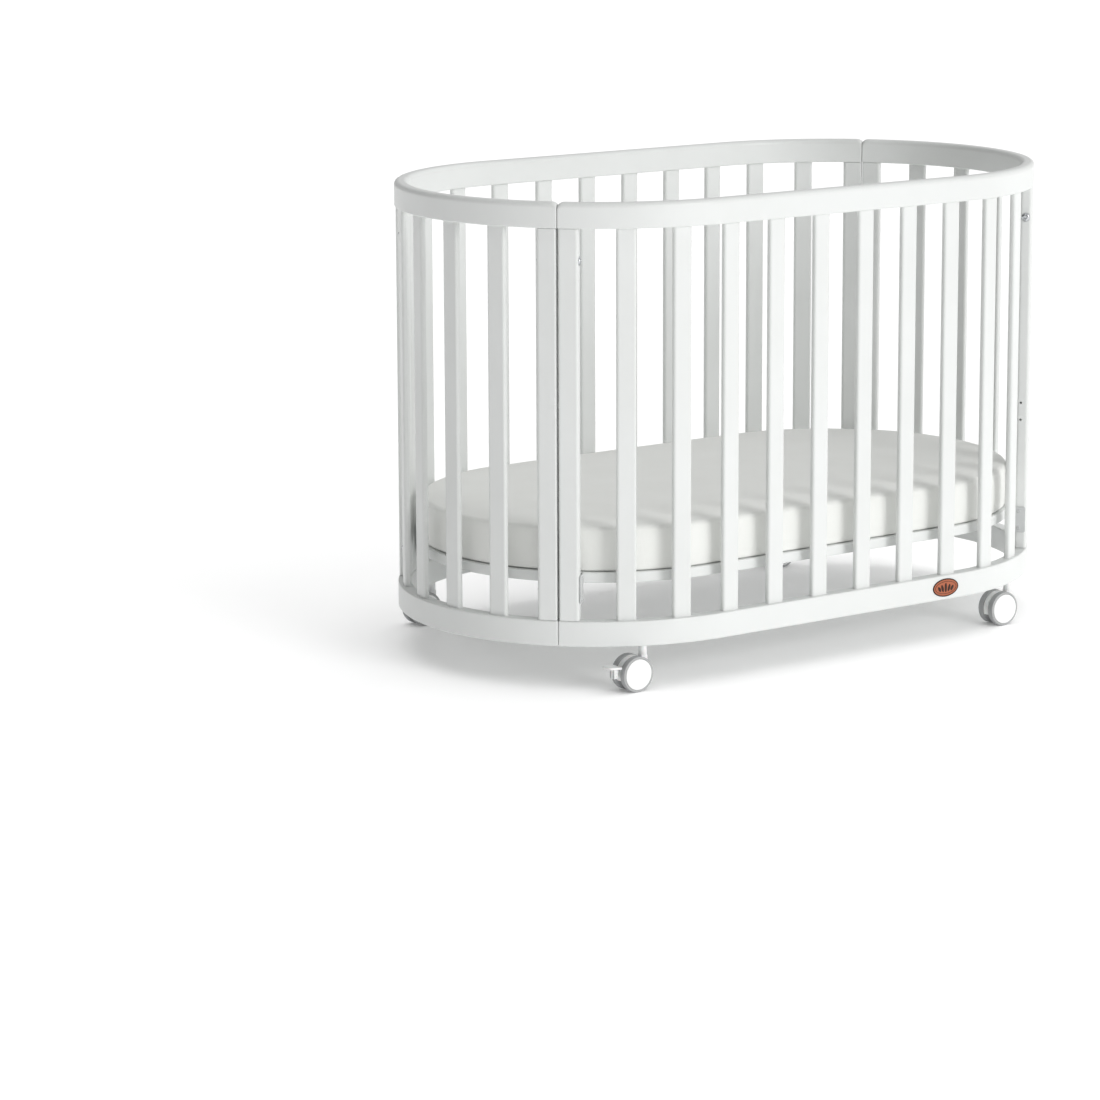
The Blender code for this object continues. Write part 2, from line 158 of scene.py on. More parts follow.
def section(low, high, radii, steps=6, support=0.0012):
    """A rounded rectangle between two corners, as points round it from its lower right corner.

    Each corner is a quarter circle of its own radius, with one more point on the flat each side of
    it, so that light stays even on the flats. low, high and radii may change from row to row.
    """
    low, high = np.asarray(low, float)[..., None, :], np.asarray(high, float)[..., None, :]
    radii = np.repeat(np.asarray(radii, float), steps + 3, axis=-1)
    turn = np.concatenate([[0], np.linspace(0, math.pi / 2, steps + 1), [math.pi / 2]])
    turn = np.tile(turn, 4) + np.repeat(np.arange(4), steps + 3) * math.pi / 2 - math.pi / 2
    right = np.repeat([1, 1, 0, 0], steps + 3)
    upper = np.repeat([0, 1, 1, 0], steps + 3)
    x = np.where(right, high[..., 0] - radii, low[..., 0] + radii) + radii * np.cos(turn)
    y = np.where(upper, high[..., 1] - radii, low[..., 1] + radii) + radii * np.sin(turn)
    lead = np.tile(np.concatenate([[-support], np.zeros(steps + 1), [support]]), 4)
    return np.stack([x - lead * np.sin(turn), y + lead * np.cos(turn)], -1)


def rounded_away(distance, length, depth):
    """How far a surface has dropped near its end: a quarter ellipse, length by depth."""
    left = np.clip(1 - distance / length, 0, 1)
    return depth * (1 - np.sqrt(1 - left**2))


def end_steps(low, high, length, count=9, spacing=0.04):
    """Stations from low to high that crowd towards both ends as the cosine of an even angle."""
    near = length * (1 - np.cos(np.linspace(0, math.pi / 2, count)))
    middle = np.linspace(low + length, high - length, max(2, math.ceil((high - low) / spacing)))
    return np.concatenate([low + near[:-1], middle, (high - near[:-1])[::-1]])


def capped(points):
    """The grid with a pole at the middle of its first and last rows, which closes the ends."""
    first = np.broadcast_to(points[0].mean(0), points[:1].shape)
    last = np.broadcast_to(points[-1].mean(0), points[:1].shape)
    return np.concatenate([first, points, last])


def turned(profile, centre, axis, across, steps=40):
    """A surface turned about an axis.

    The profile's columns are distance along the axis, radius, and how far the ring is a hexagon,
    from 0 for round. A hexagon's radius is its flat's distance over the cosine of the angle to it.
    """
    profile = np.asarray(profile, float)
    angle = np.arange(steps) / steps * 2 * math.pi
    hexagon = 1 / np.cos(angle % (math.pi / 3) - math.pi / 6)
    radius = profile[:, 1:2] * (1 + profile[:, 2:3] * (hexagon - 1))
    axis, across = np.asarray(axis, float), np.asarray(across, float)
    ring = np.cos(angle)[:, None] * across + np.sin(angle)[:, None] * np.cross(axis, across)
    return centre + profile[:, :1, None] * axis + radius[..., None] * ring


def grid(points, rows_meet=False, material=0):
    """Faces between the rows and round the columns, with lengths in metres as their UV.

    A point counts as an edge, from 0 to 1, by one minus the cosine of the bend at it round its row.
    """
    rows, columns = points.shape[:2]
    i = np.arange(rows if rows_meet else rows - 1)[:, None]
    j = np.arange(columns)[None, :]
    k, m = (i + 1) % rows, (j + 1) % columns
    faces = np.stack([i * columns + j, i * columns + m, k * columns + m, k * columns + j], -1)
    step_u = np.linalg.norm(np.roll(points, -1, 0) - points, axis=-1).max(1)
    step_v = np.linalg.norm(np.roll(points, -1, 1) - points, axis=-1).max(0)
    u = np.concatenate([[0], np.cumsum(step_u)])
    v = np.concatenate([[0], np.cumsum(step_v)])
    corners = [(i, j), (i, j + 1), (i + 1, j + 1), (i + 1, j)]
    uv = np.stack([np.stack(np.broadcast_arrays(u[a], v[b]), -1) for a, b in corners], -2)
    before = points - np.roll(points, 1, 1)
    after = np.roll(points, -1, 1) - points
    size = np.linalg.norm(before, axis=-1) * np.linalg.norm(after, axis=-1)
    bend = 1 - (before * after).sum(-1) / np.maximum(size, 1e-12)
    edge = np.clip(bend / EDGE_BEND, 0, 1) * (size > 1e-12)
    return points.reshape(-1, 3), faces.reshape(-1, 4), uv.reshape(-1, 2), edge.ravel(), material


def make(name, grids, materials, body, stands_for=()):
    """One finished piece from its grids: welded, faces outwards, riding on its body."""
    offsets = np.cumsum([0] + [len(g[0]) for g in grids])
    mesh = bpy.data.meshes.new(name)
    vertices = np.concatenate([g[0] for g in grids])
    faces = np.concatenate([g[1] + start for g, start in zip(grids, offsets)])
    mesh.from_pydata(vertices.tolist(), [], faces.tolist())
    uv = np.concatenate([g[2] for g in grids])
    mesh.uv_layers.new(name="along").uv.foreach_set("vector", uv.ravel())
    edge = np.concatenate([g[3] for g in grids])
    mesh.attributes.new("edge", "FLOAT", "POINT").data.foreach_set("value", edge)
    index = np.concatenate([np.full(len(g[1]), g[4]) for g in grids])
    mesh.polygons.foreach_set("material_index", index)
    bm = bmesh.new()
    bm.from_mesh(mesh)
    bmesh.ops.remove_doubles(bm, verts=bm.verts, dist=WELD)
    bmesh.ops.recalc_face_normals(bm, faces=bm.faces)
    bm.to_mesh(mesh)
    bm.free()
    mesh.shade_smooth()
    mesh.set_sharp_from_angle(angle=SHARP_ANGLE)
    obj = bpy.data.objects.new(name, mesh)
    bpy.context.scene.collection.objects.link(obj)
    for material in materials:
        mesh.materials.append(material)
    return settle(obj, body, stands_for)


def settle(obj, body, stands_for=()):
    """Puts the piece on what it rides on and hides the CAD nodes that it stands for."""
    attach(obj, body)
    if stands_for:
        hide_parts(*stands_for)
    return obj


def placed(local, place):
    """Local points (along the outline, inwards, up) put at a place on the outline."""
    point, tangent, outward = (a[0] for a in outline(place))
    return point + local[..., :1] * tangent - local[..., 1:2] * outward + local[..., 2:] * (0, 0, 1)


def bar(low, high, radii, ease, steps=6, support=0.0012):
    """An upright bar between two local corners: one rounded section carried up, its ends eased.

    Near each end the section shrinks by the drop of a quarter circle of the ease's radius.
    """
    z = end_steps(low[2], high[2], ease, 6)
    inset = rounded_away(np.minimum(z - low[2], high[2] - z), ease, ease)[:, None]
    radii = np.maximum(np.asarray(radii) - inset, ease / 4)
    flat = section(np.array(low[:2]) + inset, np.array(high[:2]) - inset, radii, steps, support)
    height = np.broadcast_to(z[:, None, None], (*flat.shape[:2], 1))
    return capped(np.concatenate([flat, height], -1))


# Materials


def add(tree, kind, inputs=(), **settings):
    """Adds a node with its settings, and gives its sockets values or links to other outputs."""
    made = tree.nodes.new(kind)
    for name, value in settings.items():
        setattr(made, name, value)
    for socket, value in dict(inputs).items():
        if isinstance(value, bpy.types.NodeSocket):
            tree.links.new(value, made.inputs[socket])
        else:
            made.inputs[socket].default_value = value
    return made


def blank(name, **constants):
    """A material with an empty Principled shader, whose constant values sit on its own sockets."""
    material = bpy.data.materials.new(name)
    material.use_nodes = True
    tree = material.node_tree
    shader = tree.nodes["Principled BSDF"]
    for socket, value in constants.items():
        shader.inputs[socket.replace("_", " ")].default_value = value
    return material, tree, shader


def maths(tree, operation, *values):
    """A Math node's result for numbers or other nodes' outputs."""
    return add(tree, "ShaderNodeMath", enumerate(values), operation=operation).outputs[0]


def noise(tree, place, size, detail, **more):
    """Noise at a place, in lumps of about the size given in metres."""
    inputs = {"Vector": place, "Scale": 1 / size, "Detail": detail, **more}
    return add(tree, "ShaderNodeTexNoise", inputs).outputs["Fac"]


def between(tree, share, colours):
    """A colour between two sRGB hex values."""
    inputs = {0: share, 6: linear(colours[0]), 7: linear(colours[1])}
    return add(tree, "ShaderNodeMix", inputs, data_type="RGBA", clamp_factor=True).outputs[2]


def relief(tree, shader, height):
    """Turns a height in metres into the shader's normal."""
    bump = add(tree, "ShaderNodeBump", {"Strength": 1.0, "Distance": 1.0, "Height": height})
    tree.links.new(bump.outputs[0], shader.inputs["Normal"])


def coating(name, colours, roughness, patch, grit, depth, grain=0.0, worn=0.0, **constants):
    """A sprayed, moulded or plated surface.

    Colour drifts between the two colours in patches of the size given. Grit is the width in metres
    of the fine relief and depth its height. Grain is the height of wood grain that shows along the
    UV. Worn says how far the second colour shows on the edges. Roughness drifts between its values.
    """
    material, tree, shader = blank(name, **constants)
    place = add(tree, "ShaderNodeTexCoord").outputs["Object"]
    drift = noise(tree, place, patch, 3.0, Roughness=0.6)
    fine = noise(tree, place, grit, 2.0)
    height = maths(tree, "MULTIPLY", fine, depth)
    if grain:
        along = add(tree, "ShaderNodeUVMap", uv_map="along").outputs["UV"]
        # Grain lines 60 mm long and 1.8 mm wide, coarser than beech pores, so that they show
        scale = (1 / 0.06, 1 / 0.0018, 1)
        stretched = add(tree, "ShaderNodeMapping", {"Vector": along, "Scale": scale})
        lines = noise(tree, stretched.outputs["Vector"], 1.0, 3.0, Distortion=0.4)
        height = maths(tree, "MULTIPLY_ADD", lines, grain, height)
    share = drift
    if worn:
        edge = add(tree, "ShaderNodeAttribute", attribute_name="edge").outputs["Fac"]
        share = maths(tree, "MULTIPLY_ADD", maths(tree, "MULTIPLY", edge, fine), worn, drift)
    span = {"Value": drift, "To Min": roughness[0], "To Max": roughness[1]}
    rough = add(tree, "ShaderNodeMapRange", span).outputs[0]
    tree.links.new(between(tree, share, colours), shader.inputs["Base Color"])
    tree.links.new(rough, shader.inputs["Roughness"])
    relief(tree, shader, height)
    return material


def woven_cover(name, colours, thread, height):
    """Tightly woven cotton cover: matt, with a soft sheen and two sets of crossing threads.

    Each set of threads is a wave along one object axis and the weave is the higher of the two.
    """
    material, tree, shader = blank(name, Roughness=0.92, Sheen_Weight=0.25, Sheen_Roughness=0.6)
    place = add(tree, "ShaderNodeTexCoord").outputs["Object"]
    # A wave node repeats 20 / pi times in a length of one
    inputs = {"Vector": place, "Scale": 1 / thread / 20 * math.pi, "Distortion": 0.6, "Detail": 1.0}
    waves = [
        add(tree, "ShaderNodeTexWave", inputs, bands_direction=axis).outputs["Fac"]
        for axis in ("X", "Y", "Z")
    ]
    weave = maths(tree, "ADD", maths(tree, "MAXIMUM", waves[0], waves[1]), waves[2])
    soft = noise(tree, place, 0.09, 4.0)
    slub = noise(tree, place, 0.004, 2.0)
    tree.links.new(between(tree, soft, colours), shader.inputs["Base Color"])
    threads = maths(tree, "MULTIPLY", weave, height)
    relief(tree, shader, maths(tree, "MULTIPLY_ADD", slub, 0.0002, threads))
    return material


def finishes(colours):
    """How each finish is made: the settings of its coating or cover."""
    return {
        # Satin lacquer sprayed on beech: soft wide highlights, faint orange peel and grain
        "paint": dict(
            name="white_satin_lacquered_beech", colours=(colours.paint, colours.paint_worn),
            roughness=(0.36, 0.5), patch=0.16, grit=0.0026, depth=0.000035, grain=0.000008,
            worn=0.5, Coat_Weight=0.12, Coat_Roughness=0.25,
        ),
        # Lacquered plywood: flatter and duller than the rails
        "board": dict(
            name="white_lacquered_plywood", colours=(colours.board, "#e4e6e4"),
            roughness=(0.5, 0.62), patch=0.2, grit=0.004, depth=0.00005, grain=0.00006, worn=0.4,
        ),
        # Sheet steel with a thin grey powder coat: a fine even pebble under a dull gloss
        "steel": dict(
            name="grey_powder_coated_steel", colours=(colours.steel, "#c2c4c4"),
            roughness=(0.38, 0.5), patch=0.03, grit=0.0011, depth=0.00004, worn=0.5,
        ),
        # Zinc-plated and polished bolts: bright reflections with faint turning marks
        "chrome": dict(
            name="bright_plated_steel", colours=("#d9dbdd", "#b9bcc0"),
            roughness=(0.16, 0.3), patch=0.006, grit=0.0008, depth=0.000012, Metallic=1.0,
        ),
        # Injection-moulded nylon: slightly waxy white with a fine spark-eroded texture
        "nylon": dict(
            name="white_moulded_nylon", colours=(colours.nylon, "#ebebea"),
            roughness=(0.34, 0.46), patch=0.02, grit=0.0011, depth=0.00003, worn=0.3,
            IOR=1.53, Subsurface_Weight=0.05, Subsurface_Scale=0.002,
        ),
        # Polished nylon wheel cap: whiter and smoother than the hood
        "cap": dict(
            name="white_polished_nylon_cap", colours=("#f9fafa", "#f3f3f2"),
            roughness=(0.26, 0.36), patch=0.02, grit=0.002, depth=0.00001, IOR=1.53,
        ),
        # Moulded soft rubber tread: matt grey with light scuffs
        "tyre": dict(
            name="grey_moulded_rubber", colours=(colours.tyre, "#adaeaf"),
            roughness=(0.6, 0.78), patch=0.009, grit=0.0012, depth=0.00006, worn=0.4, IOR=1.5,
        ),
        # The tyre's side ring: the same rubber moulded smoother and paler
        "rim": dict(
            name="pale_moulded_rubber_ring", colours=("#b2b3b3", "#a6a7a7"),
            roughness=(0.5, 0.62), patch=0.01, grit=0.0012, depth=0.00003, IOR=1.5,
        ),
        # Printed and lacquered aluminium badge: warm copper field under a clear gloss
        "badge": dict(
            name="copper_printed_aluminium", colours=(colours.badge, "#a0532f"),
            roughness=(0.25, 0.38), patch=0.02, grit=0.0012, depth=0.00002, Metallic=0.3,
            Coat_Weight=0.4, Coat_Roughness=0.15,
        ),
        # Pressed badge rim: dark brown enamel
        "badge_rim": dict(
            name="dark_brown_enamel_rim", colours=("#33201a", "#452d23"),
            roughness=(0.45, 0.6), patch=0.01, grit=0.001, depth=0.00002, Specular_IOR_Level=0.25,
        ),
        # Threads 1.6 mm apart, where real ones are 0.4 mm and too fine to show
        "cover": dict(
            name="woven_cotton_mattress_cover", colours=(colours.cover, "#ecede9"),
            thread=0.0016, height=0.00007,
        ),
    }


MATERIALS = {}


def material_for(key, colours):
    """The crib's finishes, made once each."""
    if key not in MATERIALS:
        maker = woven_cover if key == "cover" else coating
        MATERIALS[key] = maker(**finishes(colours)[key])
    return MATERIALS[key]


# The crib's pieces


def slat_places(panel):
    """Where a panel's slats stand along the outline, evenly about its middle."""
    middle, _, count, pitch = PANELS[panel]
    return [middle + (i - (count - 1) / 2) * pitch for i in range(count)]


def post_places(panel):
    """Each post's place, and the side that its slats are on, 1 or -1 along the outline."""
    middle, half, _, _ = PANELS[panel]
    offset = half - POST_GAP / 2 - POST_WIDTH / 2
    return [(middle - offset, 1), (middle + offset, -1)]


def make_rail(name, panel, low, high, sizes, paint):
    """A rail: a rounded section carried along the outline.

    The section is RAIL_THICKNESS wide. Its upper corners are rounded more than its lower ones, and
    near each end its top drops as a quarter ellipse and its sides draw in as a quarter circle.
    """
    middle, half, _, _ = PANELS[panel]
    half -= SEAM_GAP / 2
    top = name.startswith("top")
    ease, length = sizes.rail_ease, sizes.corner_length
    s = end_steps(-half, half, length, 12, 0.009)
    end = half - np.abs(s)
    inset = rounded_away(end, ease, ease)
    drop = rounded_away(end, length, sizes.corner_depth) if top else inset
    rounding = sizes.rail_round if top else sizes.bottom_rail_round
    wide = RAIL_THICKNESS / 2 - inset
    radii = np.stack([0 * s + ease, 0 * s + rounding, 0 * s + rounding, 0 * s + ease], -1)
    ring = section(np.stack([-wide, low + inset], -1), np.stack([wide, high - drop], -1), radii, 7)
    point, _, outward = outline(middle + s)
    points = point[:, None] + ring[..., :1] * outward[:, None] + ring[..., 1:] * (0, 0, 1)
    make(name, [grid(capped(points))], [paint], "root", [name])


def make_rails(sizes, paint):
    """The top and the lower rail of every panel."""
    for panel in PANELS:
        make_rail(f"top_rail_{panel}", panel, TOP_RAIL[0].z, TOP_RAIL[1].z, sizes, paint)
        make_rail(f"bottom_rail_{panel}", panel, BOTTOM_RAIL[0].z, BOTTOM_RAIL[1].z, sizes, paint)


def make_upright(name, local, place, paint):
    """A painted piece of the frame, made at the front's middle and put at its place."""
    return make(name, [grid(placed(local, place))], [paint], "root", [name])


def make_posts(sizes, paint):
    """Posts: the edge towards the slats is rounded widely and the edge at the seam less."""
    for panel in PANELS:
        for number, (place, slat_side) in enumerate(post_places(panel), 1):
            name = f"post_{panel}_{number}"
            low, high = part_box(name)
            near, far = sizes.post_round, sizes.post_seam_round
            radii = (near, near, far, far) if slat_side > 0 else (far, far, near, near)
            corner = (POST_WIDTH / 2, POST_THICKNESS / 2)
            local = bar((-corner[0], -corner[1], low.z), (*corner, high.z), radii, sizes.post_ease)
            post = make_upright(name, local, place, paint)
            drill(post, panel, place, slat_side)


def drill(post, panel, place, slat_side):
    """Cuts shallow seats for the seam bolts and, on a side panel, holes for a raised bracket."""
    face = slat_side * POST_WIDTH / 2
    seat = ((-0.0008, 0, 0), (-0.0008, 0.0085, 0), (0.004, 0.0085, 0), (0.004, 0, 0))
    hole = ((-0.012, 0, 0), (-0.012, 0.0021, 0), (-0.0004, 0.0021, 0), (0.0004, 0.0029, 0),
            (0.0004, 0, 0))
    on_side = panel in ("front", "back")
    cuts = [(seat, 0.0, z) for z in ((BOLT_HIGH,) if on_side else (BOLT_LOW, BOLT_HIGH))]
    cuts += [(hole, 0.003, z) for z in UPPER_SCREWS if on_side]
    grids = [head(shape, place, (face, y, z), (slat_side, 0, 0), 40) for shape, y, z in cuts]
    cutter = make(f"{post.name}_cutter", grids, [], "root")
    modifier = post.modifiers.new("Drill", "BOOLEAN")
    modifier.operation, modifier.solver, modifier.object = "DIFFERENCE", "EXACT", cutter
    bake(post)
    bpy.data.objects.remove(cutter)
    post.data.shade_smooth()
    post.data.set_sharp_from_angle(angle=SHARP_ANGLE)


def make_slats(sizes, paint):
    """Slats: a flat rounded section carried upright between the rails."""
    low, high = BOTTOM_RAIL[1].z - sizes.slat_hidden, TOP_RAIL[0].z + sizes.slat_hidden
    corner = (sizes.slat_width / 2, sizes.slat_thickness / 2)
    for panel in PANELS:
        for number, place in enumerate(slat_places(panel), 1):
            name = f"slat_{panel}_{number:02d}"
            radii = [sizes.slat_round] * 4
            local = bar((-corner[0], -corner[1], low), (*corner, high), radii, 0.0005)
            make_upright(name, local, place, paint)


def lozenge(profile, steps=48):
    """A stadium-shaped solid: profile rows (radius, height) carried round the plan's middle."""
    core, outward = stadium(steps)
    profile = np.asarray(profile, float)
    return core + profile[:, :1, None] * outward + profile[:, 1:, None] * (0, 0, 1)


def make_base(board):
    """The base board: a stadium with eased edges."""
    low, high = BASE
    radius, ease = high.y, 0.0016
    turn = np.linspace(0, math.pi / 2, 5)
    lower = np.stack([radius - ease + ease * np.sin(turn), low.z + ease - ease * np.cos(turn)], -1)
    upper = np.stack([radius - ease + ease * np.cos(turn), high.z - ease + ease * np.sin(turn)], -1)
    flat = radius - 2 * ease
    profile = [(0, low.z), (flat, low.z), *lower, *upper, (flat, high.z), (0, high.z)]
    name = "mattress_base"
    make(name, [grid(lozenge(profile))], [board], "base", [name])


def make_mattress(sizes, cover):
    """The mattress: a foam stadium in a tight cover, swelled by cloth simulation, with sewn seams.

    The profile is a flat bottom, a rounded lower edge, a side that bellies out by a half sine, a
    rounded upper edge and a top that is crowned as one minus the square of the radius.
    """
    low, high = MATTRESS
    radius = high.y - sizes.mattress_swell
    rounding, below = sizes.mattress_round, sizes.mattress_foot_round
    foot, top = low.z + 0.0004, high.z - sizes.mattress_swell
    turn = np.linspace(0, math.pi / 2, 8)[1:-1]
    inner = np.linspace(0, radius - rounding, 30)
    lower = [radius - below + below * np.sin(turn), foot + below - below * np.cos(turn)]
    upper = [radius - rounding + rounding * np.cos(turn), top - rounding + rounding * np.sin(turn)]
    rise = np.linspace(foot + below, top - rounding, 9)
    r = np.concatenate([inner, lower[0], np.full(9, radius), upper[0], inner[::-1]])
    z = np.concatenate([0 * inner + foot, lower[1], rise, upper[1], 0 * inner + top])
    r = r + 0.0015 * np.sin(math.pi * np.clip((z - foot) / (top - foot), 0, 1))
    core, outward = stadium(64)
    points = core + r[:, None, None] * outward + z[:, None, None] * (0, 0, 1)
    obj = make("mattress", [grid(points)], [cover], "mattress", ["mattress"])
    swell(obj, sizes)
    sew(obj, sizes)
    obj.data.shade_smooth()
    rounder = obj.modifiers.new("Subdivision", "SUBSURF")
    rounder.levels = rounder.render_levels = 1


SWELL_FRAMES = 20
SEAM_FROM_EDGE = 0.012


def swell(obj, sizes):
    """Blows the cover up as cloth with air inside, then caps how far any point has moved."""
    rest = coordinates(obj.data)
    cloth = obj.modifiers.new("Cloth", "CLOTH")
    cloth.settings.use_pressure = True
    cloth.settings.uniform_pressure_force = 4.0
    cloth.settings.tension_stiffness = cloth.settings.compression_stiffness = 25.0
    cloth.settings.effector_weights.gravity = 0.0
    cloth.settings.quality = 6
    cloth.point_cache.frame_start, cloth.point_cache.frame_end = 1, SWELL_FRAMES
    for step in range(1, SWELL_FRAMES + 1):
        bpy.context.scene.frame_set(step)
    bake(obj)
    bpy.context.scene.frame_set(1)
    moved = coordinates(obj.data) - rest
    length = np.linalg.norm(moved, axis=1, keepdims=True)
    cap = sizes.mattress_swell
    moved *= np.minimum(1, cap / np.maximum(length, 1e-9))
    spread = rest + moved
    spread[:, 2] = np.maximum(spread[:, 2], MATTRESS[0].z)
    obj.data.vertices.foreach_set("co", spread.astype(np.float32).ravel())


def sew(obj, sizes):
    """Presses a sewn seam round the side, just inside the upper and lower rounded edges.

    A point sinks along the plan's outward direction by a bell curve of its height from the seam.
    """
    co = coordinates(obj.data)
    core = np.stack([np.clip(co[:, 0], -HALF_STRAIGHT, HALF_STRAIGHT), 0 * co[:, 0]], -1)
    away = co[:, :2] - core
    reach = np.linalg.norm(away, axis=1)
    out = away / np.maximum(reach, 1e-9)[:, None]
    on_side = reach > MATTRESS[1].y - 2 * sizes.mattress_round
    for seam in (MATTRESS[0].z + SEAM_FROM_EDGE, MATTRESS[1].z - SEAM_FROM_EDGE):
        press = sizes.seam_depth * np.exp(-(((co[:, 2] - seam) / sizes.seam_width) ** 2))
        co[:, :2] -= out * (press * on_side)[:, None]
    obj.data.vertices.foreach_set("co", co.astype(np.float32).ravel())


def coordinates(mesh):
    """The mesh's points as rows of x, y and z."""
    co = np.empty(len(mesh.vertices) * 3, np.float32)
    mesh.vertices.foreach_get("co", co)
    return co.reshape(-1, 3).astype(float)


def bake(obj):
    """Applies the object's modifiers to its mesh."""
    graph = bpy.context.evaluated_depsgraph_get()
    made = bpy.data.meshes.new_from_object(obj.evaluated_get(graph))
    obj.modifiers.clear()
    obj.data = made


BRACKET_SHEET = 0.0025
BRACKET_CLEARANCE = 0.0003
BRACKET_SCREW_RISE = 0.016


def make_bracket(name, place, slat_side, steel):
    """An angle bent from steel sheet: one leg on the post's side and one behind the post.

    Distance along the unfolded strip runs down one leg, round the bend and along the other. The
    strip's height narrows as a quarter circle at both ends, and its faces are offset from its
    middle line.
    """
    low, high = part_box(name)
    sheet, bend, corner = BRACKET_SHEET, 0.003, 0.003
    outer = POST_WIDTH / 2 + BRACKET_CLEARANCE
    back = MID_RADIUS - BASE[1].y - 0.0006
    side_leg, back_leg = 0.0315 - bend, 0.028 - bend
    arc = np.linspace(0, math.pi / 2, 7)
    crowded = corner * (1 - np.cos(arc))
    run = np.concatenate([[0], crowded[1:], [side_leg]])
    x_mid = outer + sheet / 2
    y_mid = back - sheet / 2
    turn = bend - sheet / 2
    first = np.stack([0 * run + x_mid, y_mid - turn - side_leg + run, 0 * run, 0 * run + 1], -1)
    curve = np.stack(
        [x_mid - turn + turn * np.cos(arc), y_mid - turn + turn * np.sin(arc), arc, 0 * arc], -1
    )[1:]
    rest = back_leg - crowded[::-1]
    last = np.stack([x_mid - turn - rest, 0 * rest + y_mid, 0 * rest + math.pi / 2, 0 * rest], -1)
    line = np.concatenate([first, curve, last])
    start = np.concatenate([run, np.full(len(arc) - 1 + len(rest), 1.0)])
    finish = np.concatenate([np.full(len(run) + len(arc) - 1, 1.0), back_leg - rest])
    trim = rounded_away(np.minimum(start, finish), corner, corner)
    half = (high.z - low.z) / 2 - trim
    ring = section(
        np.stack([0 * half - sheet / 2, -half], -1), np.stack([0 * half + sheet / 2, half], -1),
        np.full((len(half), 4), 0.0006), 3, 0.0003,
    )
    facing = np.stack([np.cos(line[:, 2]), np.sin(line[:, 2])], -1)[:, None]
    flat = line[:, None, :2] + ring[..., :1] * facing
    flat = flat * (slat_side, 1)
    local = np.concatenate([flat, ring[..., 1:] + (low.z + high.z) / 2], -1)
    points = placed(capped(local), place)
    make(name, [grid(points)], [steel], "base", [name])


SCREW_HEAD = ((-0.001, 0, 0), (-0.001, 0.0036, 0), (0.0004, 0.0036, 0), (0.0009, 0.0031, 0),
              (0.0012, 0.0022, 0), (0.0013, 0.0016, 0), (0.0005, 0.0014, 1), (0.0004, 0, 0))
BOLT_HEAD = ((-0.0012, 0, 0), (-0.0012, 0.0078, 0), (0.0003, 0.0078, 0), (0.001, 0.0075, 0),
             (0.0021, 0.0066, 0), (0.0029, 0.0053, 0), (0.0033, 0.0040, 0), (0.0034, 0.0033, 0),
             (0.0033, 0.0027, 1), (0.0031, 0.00255, 1), (0.0004, 0.0025, 1), (0.0002, 0, 0))
NUT_HEAD = ((-0.0012, 0, 0), (-0.0012, 0.0058, 0), (0.0002, 0.0058, 0), (0.0005, 0.0054, 0),
            (0.0005, 0.0030, 0), (0.0003, 0.0027, 1), (-0.0008, 0.0025, 1), (-0.0008, 0, 0))


def head(profile, place, local, axis, steps=36):
    """A turned screw or bolt head at a local point, facing along a local axis."""
    base = placed(np.zeros(3), place)
    at = placed(np.asarray(local, float), place)
    facing = placed(np.asarray(axis, float), place) - base
    return grid(turned(profile, at, facing, (0, 0, 1), steps))


def make_brackets(steel):
    """A bracket on each side post, with its two screws one above the other."""
    for panel in ("front", "back"):
        for place, slat_side in post_places(panel):
            x = outline(place)[0][0, 0]
            name = f"bracket_{panel}_{'left' if x < 0 else 'right'}"
            make_bracket(name, place, slat_side, steel)
            face = slat_side * (POST_WIDTH / 2 + BRACKET_CLEARANCE + BRACKET_SHEET)
            middle = (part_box(name)[0].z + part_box(name)[1].z) / 2
            screws = [
                head(SCREW_HEAD, place, (face, 0.003, middle + rise), (slat_side, 0, 0), 24)
                for rise in (-BRACKET_SCREW_RISE, BRACKET_SCREW_RISE)
            ]
            make(f"{name}_screws", screws, [steel], "base")


def make_bolts(bright):
    """Seam bolts: a domed head with a socket on the side posts, a flat nut on the end posts."""
    for panel in PANELS:
        for number, (place, slat_side) in enumerate(post_places(panel), 1):
            face = slat_side * POST_WIDTH / 2
            heights = (BOLT_HIGH,) if panel in ("front", "back") else (BOLT_LOW, BOLT_HIGH)
            shape = BOLT_HEAD if panel in ("front", "back") else NUT_HEAD
            heads = [head(shape, place, (face, 0, z), (slat_side, 0, 0)) for z in heights]
            make(f"bolts_{panel}_{number}", heads, [bright], "root")


def box_between(low, high, rounding):
    """A block with rounded upright edges and eased ends, between two corners."""
    return bar(low, high, [rounding] * 4, min(rounding, 0.001), 4, 0.0001)


WHEEL_RADIUS = 0.031
CASTOR_TRAIL = 0.022
CASTOR_HALF = 0.020
WHEEL_INNER = 0.0065
RIM_FACE = CASTOR_HALF - 0.0008
TYRE_ROUND = 0.0016
PIN = (-0.0355, 0.003)


